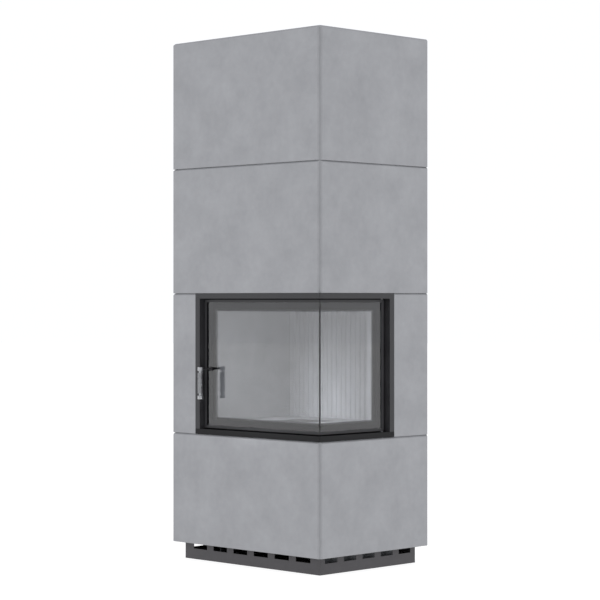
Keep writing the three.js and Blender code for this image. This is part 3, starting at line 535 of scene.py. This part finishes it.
# ---- Bare steel pieces ----------------------------------------------------------------------------
# Air box with its spigot, ash pan, air slide, hinge pins and latch cam are left bare: cold-rolled
# steel with fine rolling lines and patches where oil has dulled it.

STEEL_DARK = 0x7C7E81
STEEL_LIGHT = 0x96989B
STEEL_ROUGHNESS = (0.30, 0.46)
OIL = 35 * MM

# Rolling lines are finer than this and are drawn coarser, so that they show from near.
ROLLING = 0.9 * MM
ROLLING_DEPTH = 0.012 * MM
ROLLING_STRETCH = 0.04

BARE_STEEL_PARTS = {
    "air_box": ("duct", 0.3 * MM),
    "ash_pan": ("tray", 0.3 * MM),
    "air_slide": ("plate", 0.4 * MM),
    "hinge_pin_top": ("stud", 0.3 * MM),
    "hinge_pin_bottom": ("stud", 0.3 * MM),
    "latch_cam": ("plate", 0.5 * MM),
}


def rolled_steel():
    """Level rolling lines with a soft sheen, duller in oily patches."""
    material, tree = new_material("cold_rolled_steel")
    place = add(tree, "TexCoord").outputs["Object"]
    stretch = (ROLLING_STRETCH, ROLLING_STRETCH, 1.0)
    rolled = add(tree, "Mapping", {"Vector": place, "Scale": stretch})
    lines = add(tree, "TexNoise", {
        "Vector": rolled, "Scale": 1 / ROLLING, "Detail": 2.0, "Roughness": 0.55,
    })
    oil = add(tree, "TexNoise", {
        "Vector": place, "Scale": 1 / OIL, "Detail": 6.0, "Roughness": 0.65,
    })
    colour = toned(tree, oil, NARROW, STEEL_DARK, STEEL_LIGHT)
    roughness = add(tree, "MapRange", [oil, *WIDE, *STEEL_ROUGHNESS])
    normal = add(tree, "Bump", {"Height": lines, "Distance": ROLLING_DEPTH})
    shader = add(tree, "BsdfPrincipled", {
        "Base Color": colour, "Roughness": roughness, "Normal": normal, "Metallic": 1.0,
    })
    add(tree, "OutputMaterial", [shader])
    return material


bare_steel = rolled_steel()
for cad, (form, edge) in BARE_STEEL_PARTS.items():
    eased(cad, f"{cad}_{form}", edge, bare_steel)

# ---- Linings --------------------------------------------------------------------------------------
# Slabs of pressed insulating fireclay that line the firebox: back slab with upright ribs, plain
# left and right slabs, hearth slab and baffle. Grey and matt, with flecks of darker grit.

CLAY_DARK = 0x8C8D90
CLAY_LIGHT = 0x9B9C9F
CLAY_FLECK = 0x737477
FIRING = 70 * MM
GRIT = 3.2 * MM
GRIT_DEPTH = 0.12 * MM
FLECKS = (0.60, 0.68)
SLAB_EDGE = 1.2 * MM


def fireclay():
    """Soft clouds from the firing under dark grit, with no sheen."""
    material, tree = new_material("pressed_fireclay")
    place = add(tree, "TexCoord").outputs["Object"]
    firing = add(tree, "TexNoise", {
        "Vector": place, "Scale": 1 / FIRING, "Detail": 5.0, "Roughness": 0.55,
    })
    grit = add(tree, "TexNoise", {
        "Vector": place, "Scale": 1 / GRIT, "Detail": 3.0, "Roughness": 0.7,
    })
    clay = toned(tree, firing, WIDE, CLAY_DARK, CLAY_LIGHT)
    fleck = add(tree, "MapRange", [grit, *FLECKS])
    colour = add(tree, "MixRGB", [fleck, clay, linear(CLAY_FLECK)])
    normal = add(tree, "Bump", {"Height": grit, "Distance": GRIT_DEPTH})
    shader = add(tree, "BsdfPrincipled", {
        "Base Color": colour, "Normal": normal, "Roughness": 0.95, "Specular IOR Level": 0.2,
    })
    add(tree, "OutputMaterial", [shader])
    return material


grey_fireclay = fireclay()
for cad in ("lining_back", "lining_left", "lining_right", "hearth_slab", "baffle"):
    eased(cad, cad + "_slab", SLAB_EDGE, grey_fireclay)

# ---- Grate ----------------------------------------------------------------------------------------
# Grey cast iron, poured in a sand mould and laid loose in its seat in the hearth, so that it can be
# lifted out: dark, with the sand's grain in its skin.

IRON_DARK = 0x2B2B2D
IRON_LIGHT = 0x3A3A3D
IRON_SCALE = 20 * MM
CASTING_GRAIN = 1.3 * MM
CASTING_DEPTH = 0.15 * MM
CASTING_EDGE = 1.5 * MM


def cast_iron():
    """Rough and dark, with patches of scale from the fire."""
    material, tree = new_material("grey_cast_iron")
    place = add(tree, "TexCoord").outputs["Object"]
    grain = add(tree, "TexNoise", {
        "Vector": place, "Scale": 1 / CASTING_GRAIN, "Detail": 3.0, "Roughness": 0.65,
    })
    scale = add(tree, "TexNoise", {
        "Vector": place, "Scale": 1 / IRON_SCALE, "Detail": 5.0, "Roughness": 0.55,
    })
    colour = toned(tree, scale, WIDE, IRON_DARK, IRON_LIGHT)
    normal = add(tree, "Bump", {"Height": grain, "Distance": CASTING_DEPTH})
    shader = add(tree, "BsdfPrincipled", {
        "Base Color": colour, "Normal": normal, "Roughness": 0.62, "Metallic": 0.4,
    })
    add(tree, "OutputMaterial", [shader])
    return material


eased("grate", "grate_casting", CASTING_EDGE, cast_iron())

# ---- Door leaf ------------------------------------------------------------------------------------
# The moving frame: welded steel profiles with a lip in front of the glass, mitred at the corner and
# in the same black paint as the fixed frame.

LEAF_PARTS = (
    "leaf_rail_top_front", "leaf_rail_top_side", "leaf_rail_bottom_front", "leaf_rail_bottom_side",
    "leaf_stile_latch", "leaf_stile_hinge",
)
PROFILE_EDGE = 0.5 * MM

for cad in LEAF_PARTS:
    eased(cad, cad + "_profile", PROFILE_EDGE, painted_steel)

# ---- Panes ----------------------------------------------------------------------------------------
# Two panes of clear 4 mm ceramic glass that meet at the corner, with ground edges. They mirror the
# white studio faintly and let its light through to the linings.

GLASS_TINT = 0xF6F7F8
LAMP_TINT = 0xF4F5F6
GLASS_IOR = 1.52
PANE_EDGE = 0.4 * MM


def ceramic_glass():
    """Clear to the eye by bending light, and open to light that falls on what is behind it."""
    material, tree = new_material("ceramic_glass")
    bending = add(tree, "BsdfPrincipled", {
        "Base Color": linear(GLASS_TINT), "Roughness": 0.0, "IOR": GLASS_IOR,
        "Transmission Weight": 1.0,
    })
    open_to_light = add(tree, "BsdfTransparent", [linear(LAMP_TINT)])
    ray = add(tree, "LightPath").outputs
    rays = [ray["Is Shadow Ray"], ray["Is Diffuse Ray"]]
    falling = add(tree, "Math", rays, operation="MAXIMUM")
    mixed = add(tree, "MixShader", [falling, bending, open_to_light])
    add(tree, "OutputMaterial", [mixed])
    return material


clear_glass = ceramic_glass()
for cad in ("glass_front", "glass_side"):
    eased(cad, cad + "_pane", PANE_EDGE, clear_glass)

# ---- Printed border -------------------------------------------------------------------------------
# Black ceramic ink fired into the inner face of the panes: a solid band beside the leaf that hides
# its box, and then ever finer dots, too fine to show in the render and drawn here as an even fade.
# It lies just inside the glass, so it has no sheen of its own.

INK = 0x101012
INK_THICKNESS = 0.08 * MM
INK_COVER = 0.02 * MM
FADE_RAILS = 11 * MM
FADE_STILES = 32 * MM

# Where the solid band ends: heights at the rails, x at the latch stile and y at the hinge stile.
BAND_TOP = 1.004
BAND_BOTTOM = 0.566
BAND_LATCH = -0.206
BAND_HINGE = 0.0325

front_low, front_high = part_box("glass_front")
side_low, side_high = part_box("glass_side")


def printed_ink(name, axis, band_end, direction):
    """Solid at the rails and at the stile, fading towards the middle of the pane."""
    material, tree = new_material(name)
    place = add(tree, "TexCoord").outputs["Object"]
    split = add(tree, "SeparateXYZ", [place]).outputs
    fade_end = band_end + direction * FADE_STILES
    top = add(tree, "MapRange", [split["Z"], BAND_TOP - FADE_RAILS, BAND_TOP])
    bottom = add(tree, "MapRange", [split["Z"], BAND_BOTTOM + FADE_RAILS, BAND_BOTTOM])
    stile = add(tree, "MapRange", [split[axis], fade_end, band_end])
    rails = add(tree, "Math", [top, bottom], operation="MAXIMUM")
    cover = add(tree, "Math", [stile, rails], operation="MAXIMUM")
    shader = add(tree, "BsdfPrincipled", {
        "Base Color": linear(INK), "Alpha": cover, "Roughness": 0.5, "Specular IOR Level": 0.0,
    })
    add(tree, "OutputMaterial", [shader])
    return material


def border(name, corners, shift, material):
    """A film cut to an outline, a hair thick, just under the inner face of a pane."""
    film = bmesh.new()
    film.faces.new([film.verts.new(corner) for corner in corners])
    grown = bmesh.ops.extrude_face_region(film, geom=film.faces[:])
    moved = [v for v in grown["geom"] if isinstance(v, bmesh.types.BMVert)]
    bmesh.ops.translate(film, verts=moved, vec=shift)
    bmesh.ops.recalc_face_normals(film, faces=film.faces)
    piece = new_piece(name, film, material)
    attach(piece, "door")


def border_outline(far, fade_end, near, low, high):
    """Down the stile and along both rails, as (along the pane, height)."""
    top, bottom = BAND_TOP - FADE_RAILS, BAND_BOTTOM + FADE_RAILS
    return [
        (near, low), (far, low), (far, high), (near, high),
        (near, top), (fade_end, top), (fade_end, bottom), (near, bottom),
    ]


film_depth = front_high.y - INK_THICKNESS - INK_COVER
outline = border_outline(
    front_low.x, BAND_LATCH + FADE_STILES, front_high.x, front_low.z, front_high.z
)
front_ink = printed_ink("printed_ink_front", "X", BAND_LATCH, 1)
border("border_front", [(x, film_depth, z) for x, z in outline], (0, INK_THICKNESS, 0), front_ink)
film_depth = side_low.x + INK_THICKNESS + INK_COVER
outline = border_outline(
    side_high.y, BAND_HINGE - FADE_STILES, side_low.y, side_low.z, side_high.z
)
side_ink = printed_ink("printed_ink_side", "Y", BAND_HINGE, -1)
border("border_side", [(film_depth, y, z) for y, z in outline], (-INK_THICKNESS, 0, 0), side_ink)

# ---- Corner seal and rope gasket ------------------------------------------------------------------
# A bead of black high-temperature silicone closes the joint between the panes. A braided rope of
# glass fibre is glued to the back of the leaf, where it presses on the firebox.

SILICONE = 0x19191A
# A painted sheen: a lighter black on the ripple's crests.
SILICONE_PAINTED_SHEEN = 0x222223
# The rope's colour follows its braid: painted shade between the strands and painted highlight on
# their crossings.
ROPE_GROOVE_SHADE = 0x232324
ROPE_CREST_LIGHT = 0x3D3D3F
RIPPLE = 6 * MM
RIPPLE_DEPTH = 0.1 * MM
BEAD_EDGE = 0.8 * MM
BRAID = 3.0 * MM
BRAID_DEPTH = 0.6 * MM
BRAID_SLANT = radians(45)
ROPE_EDGE = 1.6 * MM

# The scale of a wave texture whose bands are a metre apart.
METRE_WAVE = 0.314


def silicone():
    """Smoothed by a finger: dull black with a slight ripple, lighter on its crests as a painted
    sheen.
    """
    material, tree = new_material("black_silicone")
    place = add(tree, "TexCoord").outputs["Object"]
    ripple = add(tree, "TexNoise", {
        "Vector": place, "Scale": 1 / RIPPLE, "Detail": 2.0, "Roughness": 0.55,
    })
    colour = add(tree, "MixRGB", [ripple, linear(SILICONE), linear(SILICONE_PAINTED_SHEEN)])
    normal = add(tree, "Bump", {"Height": ripple, "Distance": RIPPLE_DEPTH})
    shader = add(tree, "BsdfPrincipled", {
        "Base Color": colour, "Normal": normal, "Roughness": 0.55,
    })
    add(tree, "OutputMaterial", [shader])
    return material


def braided_rope():
    """Two sets of strands that cross at a slant, so the surface is a field of small lozenges,
    painted lighter on the raised crossings and darker between them: painted highlight and shade.
    """
    material, tree = new_material("braided_glass_fibre")
    place = add(tree, "TexCoord").outputs["Object"]
    strands = []
    for slant in (BRAID_SLANT, -BRAID_SLANT):
        laid = add(tree, "Mapping", {"Vector": place, "Rotation": (0.0, slant, slant)})
        bands = add(tree, "TexWave", {
            "Vector": laid, "Scale": METRE_WAVE / BRAID, "Distortion": 0.4,
        }, bands_direction="Z")
        strands.append(bands.outputs["Fac"])
    lozenge = add(tree, "Math", strands, operation="MULTIPLY")
    colour = add(tree, "MixRGB", [lozenge, linear(ROPE_GROOVE_SHADE), linear(ROPE_CREST_LIGHT)])
    normal = add(tree, "Bump", {"Height": lozenge, "Distance": BRAID_DEPTH})
    shader = add(tree, "BsdfPrincipled", {
        "Base Color": colour, "Normal": normal, "Roughness": 0.95, "Specular IOR Level": 0.15,
    })
    add(tree, "OutputMaterial", [shader])
    return material


eased("glass_seal", "glass_seal_bead", BEAD_EDGE, silicone())
eased("door_gasket", "door_gasket_rope", ROPE_EDGE, braided_rope(), steps=3)

# ---- Handle ---------------------------------------------------------------------------------------
# A black spindle runs through the leaf and carries the grip: a turned stainless bar with a cap at
# each end and a stainless wire wound round the waist between them, which keeps it cool to the hand.

GRIP_STEPS = 64
ROUND_STEPS = 5
CAP_LENGTH = 15 * MM
CAP_EDGE = 1.5 * MM
CORE_RADIUS = 5.5 * MM
WIRE_RADIUS = 1.6 * MM
COIL_PITCH = 3.9 * MM
COIL_BEND = 4 * MM
BEND_STEPS = 6
CURL_STEPS = 28
WIRE_SIDES = 12
STAINLESS_DARK = 0x939496
STAINLESS_LIGHT = 0xA7A8AA
STAINLESS_ROUGHNESS = (0.24, 0.34)
TURNING = 0.25 * MM
TURNING_DEPTH = 0.01 * MM
TURNING_STRETCH = 0.05
WIPE = 12 * MM
ROD_EDGE = 0.4 * MM

grip_low, grip_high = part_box("handle_grip")
grip_axis = (grip_low + grip_high) / 2
grip_radius = (grip_high.y - grip_low.y) / 2


def turned_stainless():
    """Bright, with the lathe's fine rings and the traces of hands that wiped it."""
    material, tree = new_material("turned_stainless_steel")
    place = add(tree, "TexCoord").outputs["Object"]
    stretch = (TURNING_STRETCH, TURNING_STRETCH, 1.0)
    ringed = add(tree, "Mapping", {"Vector": place, "Scale": stretch})
    rings = add(tree, "TexNoise", {
        "Vector": ringed, "Scale": 1 / TURNING, "Detail": 2.0, "Roughness": 0.55,
    })
    wipe = add(tree, "TexNoise", {
        "Vector": place, "Scale": 1 / WIPE, "Detail": 4.0, "Roughness": 0.55,
    })
    colour = add(tree, "MixRGB", [wipe, linear(STAINLESS_DARK), linear(STAINLESS_LIGHT)])
    roughness = add(tree, "MapRange", [wipe, *WIDE, *STAINLESS_ROUGHNESS])
    normal = add(tree, "Bump", {"Height": rings, "Distance": TURNING_DEPTH})
    shader = add(tree, "BsdfPrincipled", {
        "Base Color": colour, "Roughness": roughness, "Normal": normal, "Metallic": 1.0,
    })
    add(tree, "OutputMaterial", [shader])
    return material


def turn_round(profile, centre, axis, steps):
    """Turns a profile of points round an axis, as on a lathe."""
    shape = bmesh.new()
    verts = [shape.verts.new(point) for point in profile]
    edges = [shape.edges.new(pair) for pair in zip(verts, verts[1:])]
    bmesh.ops.spin(
        shape, geom=verts + edges, cent=centre, axis=axis, angle=tau, steps=steps, use_merge=True
    )
    bmesh.ops.remove_doubles(shape, verts=shape.verts, dist=MERGE)
    bmesh.ops.recalc_face_normals(shape, faces=shape.faces)
    for face in shape.faces:
        face.smooth = True
    for edge in shape.edges:
        edge.smooth = edge.calc_face_angle(0) < CREASE
    return shape


def round_over(outer, z, inwards, radius):
    """A quarter round at a rim, from the side of the bar to its end or the other way."""
    turns = [pi / 2 * i / ROUND_STEPS for i in range(ROUND_STEPS + 1)]
    return [
        (outer - radius + radius * cos(t), z - inwards * (radius - radius * sin(t))) for t in turns
    ]


stainless = turned_stainless()
half = [(CORE_RADIUS, grip_axis.z)]
half += [(CORE_RADIUS, grip_high.z - CAP_LENGTH)]
half += round_over(grip_radius, grip_high.z - CAP_LENGTH, -1, CAP_EDGE)[::-1]
half += round_over(grip_radius, grip_high.z, 1, CAP_EDGE)
half += [(0.0, grip_high.z)]
whole = [(r, 2 * grip_axis.z - z) for r, z in half[:0:-1]] + half[1:]
profile = [(grip_axis.x + r, grip_axis.y, z) for r, z in whole]
bar = turn_round(profile, grip_axis, (0, 0, 1), GRIP_STEPS)
grip = new_piece("grip_bar", bar, stainless)
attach(grip, "handle")
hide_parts("handle_grip")


def coil_route():
    """Turn and height along the wire: ends square to the caps, a bend at each, and curls between."""
    radius = grip_radius - WIRE_RADIUS
    bottom, top = (box.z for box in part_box("grip_coil"))
    slope = atan(COIL_PITCH / (tau * radius))
    arc = pi / 2 - slope
    bends = [arc * i / BEND_STEPS for i in range(BEND_STEPS + 1)]
    start = [(0.0, bottom)]
    foot = bottom + 2 * WIRE_RADIUS
    start += [(COIL_BEND * (1 - cos(turn)), foot + COIL_BEND * sin(turn)) for turn in bends]
    run, rise = start[-1]
    climb = top + bottom - 2 * rise
    curls = climb / COIL_PITCH
    count = ceil(curls * CURL_STEPS)
    unrolled = tau * radius * curls
    helix = [(run + unrolled * i / count, rise + climb * i / count) for i in range(1, count)]
    length = 2 * run + unrolled
    finish = [(length - u, top + bottom - z) for u, z in reversed(start)]
    return [(u / radius, z) for u, z in start + helix + finish], radius


route, coil_radius = coil_route()
wire = bpy.data.curves.new("grip_coil_wire", "CURVE")
wire.dimensions = "3D"
wire.bevel_depth = WIRE_RADIUS
wire.bevel_resolution = WIRE_SIDES // 4
wire.use_fill_caps = True
line = wire.splines.new("POLY")
line.points.add(len(route) - 1)
for point, (turn, z) in zip(line.points, route):
    east, north = coil_radius * cos(turn), coil_radius * sin(turn)
    point.co = (grip_axis.x + east, grip_axis.y + north, z, 1.0)
line.use_smooth = True
drawn = bpy.data.objects.new("grip_coil_line", wire)
bpy.context.scene.collection.objects.link(drawn)
bpy.context.view_layer.update()
evaluated = drawn.evaluated_get(bpy.context.evaluated_depsgraph_get())
wound = bpy.data.meshes.new_from_object(evaluated)
bpy.data.objects.remove(drawn)
shape = bmesh.new()
shape.from_mesh(wound)
bmesh.ops.remove_doubles(shape, verts=shape.verts, dist=MERGE)
bmesh.ops.recalc_face_normals(shape, faces=shape.faces)
coil = new_piece("grip_coil_winding", shape, stainless)
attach(coil, "handle")
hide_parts("grip_coil")

eased("handle_spindle", "handle_spindle_rod", ROD_EDGE, painted_steel)
